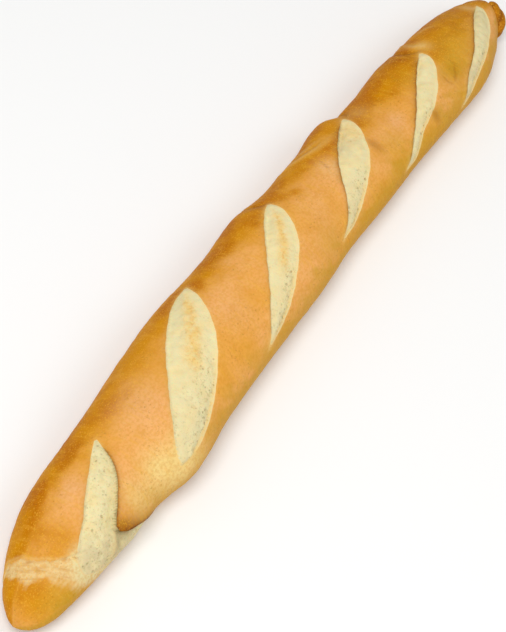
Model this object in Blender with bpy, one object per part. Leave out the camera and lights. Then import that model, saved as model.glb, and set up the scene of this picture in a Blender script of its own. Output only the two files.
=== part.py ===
"""A crisp baguette, modelled as one closed loaf.

The loaf lies along X with its heel at -X and a small twisted tail of dough at +X, and stands on the
flat that its underside bakes to. Six long slashes cross its top. The one nearest the heel has torn
open down the side, under a lifted flap of crust, and runs into a shallow tear round the heel.

Sizes are in metres and angles in degrees. An angle round the loaf is 0 at the top, positive towards
-Y and negative towards +Y.
"""

import math

import bmesh
import bpy
import numpy as np
from mathutils import Matrix, Vector

MM = 0.001

# The whole loaf
LENGTH = 559 * MM                  # heel to the end of the twisted tail
TAIL_REACH = 3.2 * MM              # how far the tail stands out past the loaf's own end
HEIGHT_TO_WIDTH = 0.735            # a section's height over its width
SPRING_LINE = 0.47                 # height of a section's widest place, over its whole height
FLAT_DEPTH = 1.2 * MM              # how much of the round underside the baking sheet flattens
HEEL_ROUND = 80 * MM               # length of the elliptical round at the heel
TIP_ROUND = 72 * MM                # and at the other end
END_LIFT = 3 * MM                  # how far both ends curl up off the sheet
END_LIFT_SPAN = 70 * MM
END_RISE = 12 * MM                 # how far the middle of a narrowing section rises besides
FULL_WIDTH = 30 * MM               # half width past which it rises no more
RELIEF_WIDTH = 12 * MM             # half width under which the slashes' relief fades out
SLASH_OPEN = 5 * MM                # width of opening past which a slash is cut to its full depth

HEEL_X = -LENGTH / 2
TIP_X = LENGTH / 2 - TAIL_REACH

# Place along the loaf, and how far its side reaches there towards +Y and towards -Y
SHAPE = [
    (-276 * MM, 17.0 * MM, 36.0 * MM),
    (-226 * MM, 27.3 * MM, 30.9 * MM),
    (-196 * MM, 29.3 * MM, 31.2 * MM),
    (-176 * MM, 30.2 * MM, 30.7 * MM),
    (-150 * MM, 31.7 * MM, 37.3 * MM),
    (-106 * MM, 35.6 * MM, 34.0 * MM),
    (-36 * MM, 35.0 * MM, 32.4 * MM),
    (9 * MM, 33.7 * MM, 32.1 * MM),
    (44 * MM, 31.9 * MM, 30.0 * MM),
    (84 * MM, 31.0 * MM, 31.0 * MM),
    (124 * MM, 27.0 * MM, 30.9 * MM),
    (164 * MM, 25.8 * MM, 32.3 * MM),
    (218 * MM, 22.6 * MM, 34.0 * MM),
    (248 * MM, 22.1 * MM, 30.6 * MM),
    (284 * MM, 22.5 * MM, 27.0 * MM),
]

# On the +Y side the crust swells before the top of a slash and drops again just past it:
# place of the shoulder, its rise, the length it rises over and the length it drops over
SHOULDERS = [
    (-72 * MM, 1.0 * MM, 45 * MM, 24 * MM),
    (6 * MM, 2.9 * MM, 36 * MM, 30 * MM),
    (105 * MM, 4.3 * MM, 34 * MM, 11 * MM),
    (168 * MM, 1.4 * MM, 30 * MM, 34 * MM),
]

SHOULDER_ANGLE = -85               # they are highest here round the loaf
SHOULDER_SPREAD = 42

# Each slash: its two ends as (place along the loaf, angle round it), then the bow of its edge
# towards the heel and of its edge towards the tail, where along it that bow is greatest, and how
# full the lens is (below 1 is blunt, above 1 is pointed)
SLASHES = {
    "second": ((-60 * MM, -50), (-156 * MM, 74), (15.0 * MM, 0.52, 0.50), (13.3 * MM, 0.45, 0.50)),
    "third": ((23 * MM, -42), (-59 * MM, 70), (7.0 * MM, 0.55, 0.55), (13.6 * MM, 0.36, 1.10)),
    "fourth": ((112 * MM, -46), (30 * MM, 60), (5.2 * MM, 0.45, 0.80), (13.3 * MM, 0.38, 0.90)),
    "fifth": ((190 * MM, -28), (106 * MM, 76), (3.0 * MM, 0.45, 0.60), (11.0 * MM, 0.32, 0.70)),
    "sixth": ((268 * MM, -39), (182 * MM, 82), (2.6 * MM, 0.70, 0.80), (13.0 * MM, 0.30, 0.80)),
}
EAR_RISE = 1.3 * MM                # the edge towards the heel lifts into an ear
EAR_SPREAD = 6 * MM
STEP_DOWN = 2.0 * MM               # from the ear down to the crumb
STEP_WIDTH = 3.0 * MM
CRUMB_RISE = 2.2 * MM              # the crumb swells up again across the opening
CRUMB_SWELL_START = 2 * MM         # in the torn opening it does so between these two distances
CRUMB_SWELL_END = 11 * MM          # from the opening's edge

# The slash nearest the heel, torn open down the side: its outline as (place, angle)
OPENING = [
    (-174 * MM, -28), (-186 * MM, 8), (-201 * MM, 36), (-209 * MM, 47), (-205 * MM, 59),
    (-192 * MM, 85), (-186 * MM, 106), (-201 * MM, 112), (-216 * MM, 93), (-230 * MM, 70),
    (-239 * MM, 48), (-235 * MM, 28), (-217 * MM, 7), (-200 * MM, -10),
]
OPENING_DEPTH = 2.6 * MM
FLAP_EDGE = OPENING[1:7]
FLAP_LIFT = 1.6 * MM               # the crust beside it lifts most at the flap's corner and below
FLAP_REACH = 20 * MM
FLAP_ANGLES = (-15, 55)            # the lift grows between these angles
FLAP_FOOT_ANGLE = 125              # and the flap ends here, under the loaf

# The shallow tear round the heel: the line it follows as (place, angle), its width and depth
HEEL_TEAR = [(-258 * MM, -70), (-254 * MM, -30), (-250 * MM, 0), (-243 * MM, 32), (-234 * MM, 60)]
HEEL_TEAR_HALF_WIDTH = 6 * MM
HEEL_TEAR_DEPTH = 1.1 * MM

# The twisted tail: points along it as offsets from the loaf's far end, with the radius at each
TAIL_ROUTE = [
    ((-18.0 * MM, -18.0 * MM, -1.0 * MM), 1.5 * MM),
    ((-13.5 * MM, -17.0 * MM, -1.2 * MM), 2.7 * MM),
    ((-8.0 * MM, -15.0 * MM, -0.6 * MM), 4.0 * MM),
    ((-4.0 * MM, -11.5 * MM, 1.2 * MM), 4.5 * MM),
    ((-1.7 * MM, -7.0 * MM, 3.4 * MM), 3.5 * MM),
    ((0.9 * MM, -4.4 * MM, 5.2 * MM), 1.3 * MM),
]

# How finely the loaf is divided before its triangles are thinned
RINGS = 280
SIDES = 112
TRIANGLES = 8400

CRUST_COLOUR = (0.72, 0.36, 0.10, 1.0)


def clear_scene():
    """Remove every object, so that the model starts from an empty scene."""
    for item in list(bpy.data.objects):
        bpy.data.objects.remove(item, do_unlink=True)


def crust_material():
    """Baked crust: a dry golden brown."""
    material = bpy.data.materials.new("baked_crust")
    material.use_nodes = True
    shader = material.node_tree.nodes["Principled BSDF"]
    shader.inputs["Base Color"].default_value = CRUST_COLOUR
    shader.inputs["Roughness"].default_value = 0.62
    shader.inputs["Metallic"].default_value = 0.0
    return material


def smooth_step(value, low, high):
    """0 below low, 1 above high, and an even slope without corners between them."""
    share = np.clip((value - low) / (high - low), 0.0, 1.0)
    return share * share * (3.0 - 2.0 * share)


def smooth_through(where, places, values):
    """Read a curve through the given values at any place, by cubic Hermite pieces."""
    places = np.asarray(places)
    values = np.asarray(values)
    slopes = np.gradient(values, places)
    index = np.clip(np.searchsorted(places, where) - 1, 0, len(places) - 2)
    span = places[index + 1] - places[index]
    t = np.clip((where - places[index]) / span, 0.0, 1.0)
    start, end = values[index], values[index + 1]
    leave, arrive = slopes[index] * span, slopes[index + 1] * span
    return (
        start * (1 + 2 * t) * (1 - t) ** 2
        + end * (3 - 2 * t) * t ** 2
        + leave * t * (1 - t) ** 2
        - arrive * (1 - t) * t ** 2
    )


def place_along(share):
    """Place of a ring, from its share of the way along: round at both ends, even between them."""
    length = TIP_X - HEEL_X
    quarter = math.pi / 2
    middle = length - HEEL_ROUND - TIP_ROUND
    pace = quarter * (HEEL_ROUND + TIP_ROUND) + middle
    heel_share = quarter * HEEL_ROUND / pace
    tip_share = quarter * TIP_ROUND / pace
    heel = HEEL_X + HEEL_ROUND * (1 - np.cos(quarter * np.clip(share / heel_share, 0, 1)))
    tip = TIP_X - TIP_ROUND * (1 - np.cos(quarter * np.clip((1 - share) / tip_share, 0, 1)))
    straight = HEEL_X + HEEL_ROUND + (share - heel_share) * pace
    return np.where(share < heel_share, heel, np.where(share > 1 - tip_share, tip, straight))


def side_reach(x, column):
    """Read one side's reach from the shape's table."""
    return smooth_through(x, [row[0] for row in SHAPE], [row[column] for row in SHAPE])


def half_width(x):
    """Half the loaf's width: a slow swell along it, closed by an elliptical round at each end."""
    swell = 0.5 * (side_reach(x, 1) + side_reach(x, 2))
    heel = np.clip((x - HEEL_X) / HEEL_ROUND, 0.0, 1.0)
    tip = np.clip((TIP_X - x) / TIP_ROUND, 0.0, 1.0)
    return swell * np.sqrt(1 - (1 - heel) ** 2) * np.sqrt(1 - (1 - tip) ** 2)


def middle_line(x):
    """How far the loaf's middle line lies towards +Y."""
    return 0.5 * (side_reach(x, 1) - side_reach(x, 2))


def shoulder_swell(x, angle):
    """Swell of the crust on the +Y side before the top of each slash."""
    swell = np.zeros(x.shape)
    for place, rise, before, after in SHOULDERS:
        climb = smooth_step(x, place - before, place)
        drop = smooth_step(x, place, place + after)
        swell += rise * climb * (1 - drop)
    return swell * np.exp(-(((angle - SHOULDER_ANGLE) / SHOULDER_SPREAD) ** 2))


def girth_per_degree(x):
    """Length round the upper half of the loaf for one degree of angle."""
    inner = np.clip(x, HEEL_X + 0.5 * HEEL_ROUND, TIP_X - 0.5 * TIP_ROUND)
    across = half_width(inner)
    rise = 2 * across * HEIGHT_TO_WIDTH * (1 - SPRING_LINE)
    return math.pi * (across + rise) / 360


def lens(share, belly, fullness):
    """Outline of one edge of a slash: 0 at both ends and 1 at its belly."""
    skew = math.log(0.5) / math.log(belly)
    inside = np.clip(share, 0.0, 1.0) ** skew
    return np.sin(math.pi * inside) ** fullness


def slash_relief(x, angle, ends, heel_edge, tail_edge):
    """Height that one slash adds to the surface: an ear, a step down to the crumb and its swell."""
    (top_x, top_angle), (end_x, end_angle) = ends
    scale = float(girth_per_degree(np.array(0.5 * (top_x + end_x))))
    along = np.array([end_x - top_x, (end_angle - top_angle) * scale])
    length = np.linalg.norm(along)
    along /= length
    across = np.array([along[1], -along[0]])
    from_top = np.stack([x - top_x, (angle - top_angle) * scale], axis=-1)
    share = from_top @ along / length
    offset = from_top @ across
    bow, belly, fullness = heel_edge
    to_heel_edge = offset + bow * lens(share, belly, fullness)
    bow, belly, fullness = tail_edge
    to_tail_edge = bow * lens(share, belly, fullness) - offset
    opening = to_heel_edge + to_tail_edge
    present = np.where((share > 0) & (share < 1), smooth_step(opening, 0.0, SLASH_OPEN), 0.0)
    step = smooth_step(to_heel_edge, 0.0, STEP_WIDTH) * smooth_step(to_tail_edge, 0.0, STEP_WIDTH)
    swell = 4 * np.clip(to_heel_edge, 0, None) * np.clip(to_tail_edge, 0, None)
    swell = swell / np.maximum(opening, MM) ** 2
    ear = np.exp(-np.clip(-to_heel_edge, 0, None) / EAR_SPREAD)
    ear *= 1 - smooth_step(to_heel_edge, 0.0, STEP_WIDTH)
    return present * (EAR_RISE * ear - step * STEP_DOWN + CRUMB_RISE * swell * step)


def outline_distance(x, angle, outline, closed):
    """Distance to a line of (place, angle) points, and whether each point lies inside it."""
    scale = girth_per_degree(x)
    best = np.full(x.shape, np.inf)
    inside = np.zeros(x.shape, dtype=bool)
    count = len(outline)
    for index in range(count if closed else count - 1):
        start_x, start_angle = outline[index]
        end_x, end_angle = outline[(index + 1) % count]
        run = np.stack([np.full(x.shape, end_x - start_x), (end_angle - start_angle) * scale], -1)
        point = np.stack([x - start_x, (angle - start_angle) * scale], -1)
        share = np.clip((point * run).sum(-1) / (run * run).sum(-1), 0.0, 1.0)
        best = np.minimum(best, np.linalg.norm(point - run * share[..., None], axis=-1))
        if start_angle != end_angle:
            crossing = start_x + (angle - start_angle) / (end_angle - start_angle) * (end_x - start_x)
            spans = (start_angle > angle) != (end_angle > angle)
            inside ^= spans & (x < crossing)
    return best, inside


def relief(x, angle):
    """Height of the slashes, the torn opening, its flap and the heel's tear over the plain loaf."""
    height = shoulder_swell(x, angle)
    for top, end, heel_edge, tail_edge in SLASHES.values():
        height += slash_relief(x, angle, (top, end), heel_edge, tail_edge)
    distance, inside = outline_distance(x, angle, OPENING, closed=True)
    step = np.where(inside, smooth_step(distance, 0.0, STEP_WIDTH), 0.0)
    swell = CRUMB_RISE * smooth_step(distance, CRUMB_SWELL_START, CRUMB_SWELL_END)
    height += step * (swell - OPENING_DEPTH)
    from_edge, _ = outline_distance(x, angle, FLAP_EDGE, closed=False)
    flap = FLAP_LIFT * (1 - smooth_step(from_edge, 0.0, FLAP_REACH))
    flap *= smooth_step(angle, *FLAP_ANGLES) * (angle < FLAP_FOOT_ANGLE)
    height += np.where(x < OPENING[3][0], 0.0, flap * (1 - step))
    distance, _ = outline_distance(x, angle, HEEL_TEAR, closed=False)
    bank = smooth_step(distance, 0.5 * HEEL_TEAR_HALF_WIDTH, HEEL_TEAR_HALF_WIDTH)
    height -= HEEL_TEAR_DEPTH * (1 - bank) * (1 - step)
    return height


def loaf_points(share, angle):
    """Points of the loaf's surface, from the share of the way along it and the angle round it."""
    x = place_along(share)
    across = half_width(x)
    high = 2 * across * HEIGHT_TO_WIDTH
    spring = SPRING_LINE * high
    side = np.sin(np.radians(angle))
    up = np.cos(np.radians(angle))
    raised = relief(x, angle) * smooth_step(across, 0.0, RELIEF_WIDTH)
    y = middle_line(x) - across * side
    z = spring + np.where(up > 0, (high - spring) * up, -spring * np.abs(up) ** 0.8)
    y -= raised * side
    z += raised * up
    curl = np.maximum(0.0, np.maximum(HEEL_X + END_LIFT_SPAN - x, x - TIP_X + END_LIFT_SPAN))
    z += END_LIFT * (curl / END_LIFT_SPAN) ** 2
    z += END_RISE * (1 - smooth_step(across, 0.0, FULL_WIDTH)) ** 2
    return np.stack([x, y, np.maximum(z - FLAT_DEPTH, 0.0)], axis=-1)


def build_loaf(collection, material):
    """The loaf: a sphere with its poles at the two ends, drawn out to the loaf's form."""
    mesh = bpy.data.meshes.new("baguette")
    shape = bmesh.new()
    bmesh.ops.create_uvsphere(shape, u_segments=SIDES, v_segments=RINGS, radius=1.0)
    shape.verts.ensure_lookup_table()
    unit = np.array([vertex.co[:] for vertex in shape.verts])
    share = np.arccos(np.clip(-unit[:, 2], -1.0, 1.0)) / math.pi
    angle = np.degrees(np.arctan2(unit[:, 1], unit[:, 0]))
    for vertex, point in zip(shape.verts, loaf_points(share, angle)):
        vertex.co = point
    bmesh.ops.recalc_face_normals(shape, faces=shape.faces)
    bmesh.ops.triangulate(shape, faces=shape.faces, quad_method="FIXED")
    shape.to_mesh(mesh)
    shape.free()
    loaf = bpy.data.objects.new("baguette", mesh)
    collection.objects.link(loaf)
    mesh.materials.append(material)
    return loaf


def build_tail(collection):
    """The twisted tail of dough, as a closed body that runs into the loaf's far end."""
    curve = bpy.data.curves.new("tail_route", "CURVE")
    curve.dimensions = "3D"
    curve.bevel_depth = 1.0
    curve.bevel_resolution = 3
    curve.resolution_u = 4
    curve.use_fill_caps = True
    spline = curve.splines.new("BEZIER")
    spline.bezier_points.add(len(TAIL_ROUTE) - 1)
    end = Vector((TIP_X, float(middle_line(np.array(TIP_X))), 0.0))
    end.z = float(loaf_points(np.array([1.0]), np.array([0.0]))[0, 2])
    for point, (offset, radius) in zip(spline.bezier_points, TAIL_ROUTE):
        point.co = end + Vector(offset)
        point.radius = radius
        point.handle_left_type = "AUTO"
        point.handle_right_type = "AUTO"
    guide = bpy.data.objects.new("tail_route", curve)
    collection.objects.link(guide)
    evaluated = guide.evaluated_get(bpy.context.evaluated_depsgraph_get())
    mesh = bpy.data.meshes.new_from_object(evaluated)
    welded = bmesh.new()
    welded.from_mesh(mesh)
    bmesh.ops.remove_doubles(welded, verts=welded.verts, dist=0.00001)
    bmesh.ops.recalc_face_normals(welded, faces=welded.faces)
    welded.to_mesh(mesh)
    welded.free()
    tail = bpy.data.objects.new("tail", mesh)
    tail.matrix_world = guide.matrix_world
    collection.objects.link(tail)
    bpy.data.objects.remove(guide, do_unlink=True)
    tail.hide_render = True
    tail.display_type = "WIRE"
    return tail


def thin_and_join(loaf, tail):
    """Thin the loaf's triangles, then join the tail to it as one body."""
    thin = loaf.modifiers.new("thin_triangles", "DECIMATE")
    thin.ratio = TRIANGLES / len(loaf.data.polygons)
    thin.use_collapse_triangulate = True
    join = loaf.modifiers.new("join_tail", "BOOLEAN")
    join.operation = "UNION"
    join.object = tail


def centre_on_origin(loaf, tail):
    """Put the origin under the middle of the loaf's box."""
    evaluated = loaf.evaluated_get(bpy.context.evaluated_depsgraph_get())
    points = [Vector(vertex.co) for vertex in evaluated.to_mesh().vertices]
    evaluated.to_mesh_clear()
    low = Vector([min(point[axis] for point in points) for axis in range(3)])
    high = Vector([max(point[axis] for point in points) for axis in range(3)])
    move = Matrix.Translation((-(low.x + high.x) / 2, -(low.y + high.y) / 2, -low.z))
    loaf.data.transform(move)
    tail.data.transform(move)


def main():
    """Build the baguette."""
    clear_scene()
    parts = bpy.data.collections.new("baguette")
    guides = bpy.data.collections.new("joined_shapes")
    bpy.context.scene.collection.children.link(parts)
    bpy.context.scene.collection.children.link(guides)
    loaf = build_loaf(parts, crust_material())
    loaf.data.shade_smooth()
    tail = build_tail(guides)
    thin_and_join(loaf, tail)
    centre_on_origin(loaf, tail)


main()
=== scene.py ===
"""A crisp baguette in full detail: one loaf of baked crust, six openings of torn crumb and a twisted tail.

The loaf lies along X with its heel at -X. A place on it is given by how far along it lies and by the
angle round it: 0 at the top, positive towards -Y and negative towards +Y. Sizes are in metres.
"""

import logging
import math
from dataclasses import dataclass, field, fields, replace
from enum import Enum

import bmesh
import bpy
import numpy as np
from mathutils import Matrix, Vector


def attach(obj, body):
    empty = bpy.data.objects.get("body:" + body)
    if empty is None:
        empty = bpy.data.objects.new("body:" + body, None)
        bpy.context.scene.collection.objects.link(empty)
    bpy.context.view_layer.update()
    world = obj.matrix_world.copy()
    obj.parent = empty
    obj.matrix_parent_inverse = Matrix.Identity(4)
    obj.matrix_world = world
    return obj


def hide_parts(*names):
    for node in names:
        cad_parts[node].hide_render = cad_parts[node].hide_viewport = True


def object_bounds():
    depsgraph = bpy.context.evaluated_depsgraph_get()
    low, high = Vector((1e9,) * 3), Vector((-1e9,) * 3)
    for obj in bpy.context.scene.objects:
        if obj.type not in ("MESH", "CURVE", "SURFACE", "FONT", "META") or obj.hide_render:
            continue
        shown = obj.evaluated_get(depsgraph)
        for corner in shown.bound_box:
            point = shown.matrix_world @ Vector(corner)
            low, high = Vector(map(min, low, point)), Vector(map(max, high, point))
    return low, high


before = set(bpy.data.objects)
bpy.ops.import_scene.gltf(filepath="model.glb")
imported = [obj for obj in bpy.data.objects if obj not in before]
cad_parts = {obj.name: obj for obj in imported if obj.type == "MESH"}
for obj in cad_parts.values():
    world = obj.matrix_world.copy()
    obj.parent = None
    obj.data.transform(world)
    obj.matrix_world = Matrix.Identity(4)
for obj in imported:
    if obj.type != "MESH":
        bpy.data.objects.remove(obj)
CAD_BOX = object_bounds()

MM = 0.001
Place = tuple[float, float]
Points = tuple[Place, ...]
Array = np.ndarray
Socket = bpy.types.NodeSocket
Tree = bpy.types.NodeTree
EVERYWHERE = slice(None)
TINY = 1e-6                     # keeps a division by nothing from failing
FAR = 50 * MM                   # what counts as far from every edge
DEGREE_ROUND = 0.5 * MM         # a degree round the loaf, roughly
NOISE_MIDDLE, NOISE_GAIN = 0.53, 3.0    # centre a noise on zero and spread it to about -1..1
CELL_MIDDLE = 0.45              # the usual distance to the nearest cell's centre
MELT_WIDTH = 9 * MM             # a melted edge slopes into the crumb over this much more
FLAP_LEAN = 0.8 * MM            # the flap leans over the crumb by this much more
HEEL_LEAN_REACH, TAIL_LEAN_REACH = 2.5 * MM, 3.5 * MM   # the leaning dies out over these lengths
GLOW_REACH, BROWN_AND_SHADOW_REACH = 1.1 * MM, 1.3 * MM           # width of the pale line, partly a painted highlight, and of the brown line, partly a painted shadow, by an edge


class Tone(Enum):
    """What a patch of the loaf's surface looks like: the name of its share on the mesh."""

    AMBER = "amber"
    OLIVE = "olive"
    BROWN = "brown"
    PALE = "pale"
    TORN = "torn"
    BLUSH = "blush"
    GREY = "grey"
    PORES = "pores"


def ease(value: Array, low: float, high: float) -> Array:
    """Rise evenly, without corners, between two values.

    Args:
        value: The numbers to read.
        low: Where the rise starts.
        high: Where it ends.

    Returns:
        0 below low, 1 above high.
    """
    share = np.clip((value - low) / (high - low), 0.0, 1.0)
    return share * share * (3.0 - 2.0 * share)


def fade(value: Array, low: float, high: float) -> Array:
    """The opposite of ease: 1 below low, 0 above high."""
    return 1 - ease(value, low, high)


def bell(value: Array, middle: float, width: float) -> Array:
    """A soft hump: 1 in the middle, falling away on both sides over a width."""
    return np.exp(-(((value - middle) / width) ** 2))


def ebb(distance: Array, length: float) -> Array:
    """1 at no distance, dying away over a length."""
    return np.exp(-distance / length)


def headings(line: Array) -> Array:
    """Find which way a line runs at each of its points.

    Args:
        line: The line's points, one in each row.

    Returns:
        A direction of length one for each point.
    """
    heading = np.gradient(line, axis=0)
    return heading / np.linalg.norm(heading, axis=1, keepdims=True)


def smooth_through(where: Array, places: Array, values: Array) -> Array:
    """Read a smooth curve through given values, by cubic Hermite pieces.

    Args:
        where: The places to read it at.
        places: The places of the given values, rising.
        values: The given values.

    Returns:
        The curve's value at each place.
    """
    places = np.asarray(places, dtype=float)
    values = np.asarray(values, dtype=float)
    slopes = np.gradient(values, places)
    index = np.clip(np.searchsorted(places, where) - 1, 0, len(places) - 2)
    span = places[index + 1] - places[index]
    t = np.clip((where - places[index]) / span, 0.0, 1.0)
    leave, arrive = slopes[index] * span, slopes[index + 1] * span
    return (
        values[index] * (1 + 2 * t) * (1 - t) ** 2
        + values[index + 1] * (3 - 2 * t) * t**2
        + leave * t * (1 - t) ** 2
        - arrive * (1 - t) * t**2
    )


def wander(where: Array, length: float, seed: float) -> Array:
    """A gentle irregular wave, as a hand-cut edge has.

    Args:
        where: Distance along the edge.
        length: The main wave's length.
        seed: Sets the waves' phases.

    Returns:
        The wave, mostly between -1 and 1.
    """
    turn = 2 * math.pi * np.asarray(where) / length
    waves = ((1.0, 1.0, 1.7), (0.6, 2.27, 3.1), (0.4, 4.9, 1.0))
    return sum(height * np.sin(pace * turn + phase * seed) for height, pace, phase in waves) / 1.5


def patchy(x: Array, around: Array, length: float, seed: float) -> Array:
    """An irregular patchiness over the loaf's surface.

    Args:
        x: Place along the loaf.
        around: Distance round it.
        length: Size of a patch.
        seed: Sets the patches' places.

    Returns:
        The patchiness, mostly between -1 and 1.
    """
    first = wander(x + 0.6 * around, length, seed)
    second = wander(around - 0.5 * x, 0.8 * length, seed + 2.3)
    third = wander(x - 1.3 * around, 1.4 * length, seed + 4.1)
    return (first * second + 0.6 * third) / 1.2


@dataclass(frozen=True)
class LoafForm:
    """The plain loaf under its slashes: its outline from above and its section."""

    heel_x: float = -279.5 * MM
    tip_x: float = 276.3 * MM
    height_to_width: float = 0.735
    spring_line: float = 0.47
    flat_depth: float = 1.2 * MM
    heel_round: float = 80 * MM
    tip_round: float = 72 * MM
    end_lift: float = 3 * MM
    end_lift_span: float = 70 * MM
    end_rise: float = 12 * MM
    full_width: float = 30 * MM
    relief_width: float = 12 * MM
    sideways: float = 0.38 * MM
    belly: float = 0.8          # below 1, the underside is fuller than half an ellipse
    outline: tuple[tuple[float, float, float], ...] = (
        (-276, 17.0, 36.0), (-226, 27.3, 30.9), (-196, 29.3, 31.2), (-176, 30.2, 30.7), (-150, 31.7, 37.3),
        (-106, 35.6, 34.0), (-36, 35.0, 32.4), (9, 33.7, 32.1), (44, 31.9, 30.0), (84, 31.0, 31.0),
        (124, 27.0, 30.9), (164, 25.8, 32.3), (218, 22.6, 34.0), (248, 22.1, 30.6), (284, 22.5, 27.0),
    )
    shoulders: tuple[tuple[float, float, float, float], ...] = (
        (-72, 1.0, 45, 24), (6, 2.9, 36, 30), (105, 4.3, 34, 11), (168, 1.4, 30, 34),
    )
    shoulder_angle: float = -85.0
    shoulder_spread: float = 42.0

    def place_along(self, share: Array) -> Array:
        """Place of a ring along the loaf: round at both ends, even between them.

        Args:
            share: The ring's share of the way from the heel to the tip.

        Returns:
            Its place along X.
        """
        quarter = math.pi / 2
        middle = self.tip_x - self.heel_x - self.heel_round - self.tip_round
        pace = quarter * (self.heel_round + self.tip_round) + middle
        heel_share = quarter * self.heel_round / pace
        tip_share = quarter * self.tip_round / pace
        heel = self.heel_x + self.heel_round * (1 - np.cos(quarter * np.clip(share / heel_share, 0, 1)))
        tip = self.tip_x - self.tip_round * (1 - np.cos(quarter * np.clip((1 - share) / tip_share, 0, 1)))
        straight = self.heel_x + self.heel_round + (share - heel_share) * pace
        return np.where(share < heel_share, heel, np.where(share > 1 - tip_share, tip, straight))

    def reach(self, x: Array, column: int) -> Array:
        """How far one side reaches (column 1 is +Y, column 2 is -Y)."""
        places, reaches = zip(*((row[0], row[column]) for row in self.outline))
        return MM * smooth_through(x / MM, places, reaches)

    def half_width(self, x: Array) -> Array:
        """Half the loaf's width: a slow swell closed by an elliptical round at each end.

        Args:
            x: Place along the loaf.

        Returns:
            Half the width there.
        """
        heel = np.clip((x - self.heel_x) / self.heel_round, 0.0, 1.0)
        tip = np.clip((self.tip_x - x) / self.tip_round, 0.0, 1.0)
        swell = 0.5 * (self.reach(x, 1) + self.reach(x, 2))
        return swell * np.sqrt(1 - (1 - heel) ** 2) * np.sqrt(1 - (1 - tip) ** 2)

    def middle_line(self, x: Array) -> Array:
        """How far the loaf's middle line lies towards +Y."""
        return 0.5 * (self.reach(x, 1) - self.reach(x, 2))

    def girth_per_degree(self, x: float) -> float:
        """Length round the upper half of the loaf for one degree of angle.

        Args:
            x: Place along the loaf.

        Returns:
            The length.
        """
        inner = np.clip(x, self.heel_x + 0.5 * self.heel_round, self.tip_x - 0.5 * self.tip_round)
        across = self.half_width(inner)
        return math.pi * (across + 2 * across * self.height_to_width * (1 - self.spring_line)) / 360

    def shoulder_swell(self, x: Array, angle: Array) -> Array:
        """Swell of the crust on the +Y side before the top of each slash.

        Args:
            x: Place along the loaf.
            angle: Angle round it.

        Returns:
            Height over the plain loaf.
        """
        swell = np.zeros(x.shape)
        for place, rise, before, after in self.shoulders:
            climb = ease(x / MM, place - before, place)
            swell += MM * rise * climb * fade(x / MM, place, place + after)
        return swell * bell(angle, self.shoulder_angle, self.shoulder_spread)

    def points(self, x: Array, angle: Array, height: Array) -> Array:
        """Points of the loaf's surface.

        Args:
            x: Place along the loaf.
            angle: Angle round it.
            height: Height of the relief there.

        Returns:
            An array of points; one below zero in z is under the flat that the loaf stands on.
        """
        x = np.clip(x, self.heel_x, self.tip_x)
        across = self.half_width(x)
        high = 2 * across * self.height_to_width
        spring = self.spring_line * high
        side, up = np.sin(np.radians(angle)), np.cos(np.radians(angle))
        raised = height * ease(across, 0.0, self.relief_width)
        y = self.middle_line(x) - across * side - raised * side
        z = spring + np.where(up > 0, (high - spring) * up, -spring * np.abs(up) ** self.belly) + raised * up
        span = self.end_lift_span
        curl = np.maximum(0.0, np.maximum(self.heel_x + span - x, x - self.tip_x + span))
        z = z + self.end_lift * (curl / span) ** 2
        z = z + self.end_rise * fade(across, 0.0, self.full_width) ** 2
        return np.stack([x, y, z - self.flat_depth], axis=-1)


@dataclass(frozen=True)
class EdgeProfile:
    """How the crust stands along one edge of an opening, and how the crumb falls away from it."""

    rise: float                 # the crust lifts this much at the edge
    reach: float                # and the lift fades over this length
    lean: float                 # the edge leans over the crumb by this much
    drop: float                 # the crumb lies this far below the plain surface
    width: float                # and is down there within this distance

    @classmethod
    def of(cls, *sizes: float) -> "EdgeProfile":
        """The profile whose five sizes are given in millimetres."""
        return cls(*(size * MM for size in sizes))


@dataclass(frozen=True)
class EdgeReading:
    """Where points lie from one line on the surface: their distance, its share and its nearest point."""

    distance: Array
    share: Array
    nearest: Array

    def at(self, index: Array) -> "EdgeReading":
        """The same reading for some of the points."""
        return EdgeReading(self.distance[index], self.share[index], self.nearest[index])


@dataclass(frozen=True)
class SurfaceLine:
    """A smooth line over the loaf through (millimetres along, degrees round)."""

    through: Points
    wobble: float = 0.0         # how far it wanders to either side, in millimetres
    seed: float = 0.0
    wave: float = 13 * MM
    pieces: int = 90

    def flat(self, girth: float) -> Array:
        """The line drawn flat, as evenly spaced points in metres along and round the loaf.

        Args:
            girth: Length round the loaf for one degree.

        Returns:
            An array of points.
        """
        points = np.array([(place * MM, angle * girth) for place, angle in self.through])
        walked = np.concatenate([[0.0], np.cumsum(np.linalg.norm(np.diff(points, axis=0), axis=1))])
        where = np.linspace(0.0, walked[-1], self.pieces)
        line = np.stack([smooth_through(where, walked, points[:, axis]) for axis in (0, 1)], axis=-1)
        heading = headings(line)
        ends = np.sin(np.pi * np.linspace(0.0, 1.0, self.pieces)).clip(0.0) ** 0.5
        sway = self.wobble * MM * wander(where, self.wave, self.seed) * ends
        return line + np.stack([-heading[:, 1], heading[:, 0]], axis=-1) * sway[:, None]

    def read(self, flat_points: Array, girth: float) -> EdgeReading:
        """Measure points against the line.

        Args:
            flat_points: Points drawn flat, as metres along and round the loaf.
            girth: Length round the loaf for one degree.

        Returns:
            Their distances, the line's share nearest each, and its nearest point.
        """
        line = self.flat(girth)
        best = np.full(len(flat_points), np.inf)
        share = np.zeros(len(flat_points))
        nearest = np.zeros((len(flat_points), 2))
        for index in range(len(line) - 1):
            start, run = line[index], line[index + 1] - line[index]
            t = np.clip((flat_points - start) @ run / max(run @ run, TINY**3), 0.0, 1.0)
            foot = start + t[:, None] * run
            away = np.linalg.norm(flat_points - foot, axis=1)
            closer = away < best
            best = np.where(closer, away, best)
            share = np.where(closer, (index + t) / (len(line) - 1), share)
            nearest[closer] = foot[closer]
        return EdgeReading(best, share, nearest)


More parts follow.
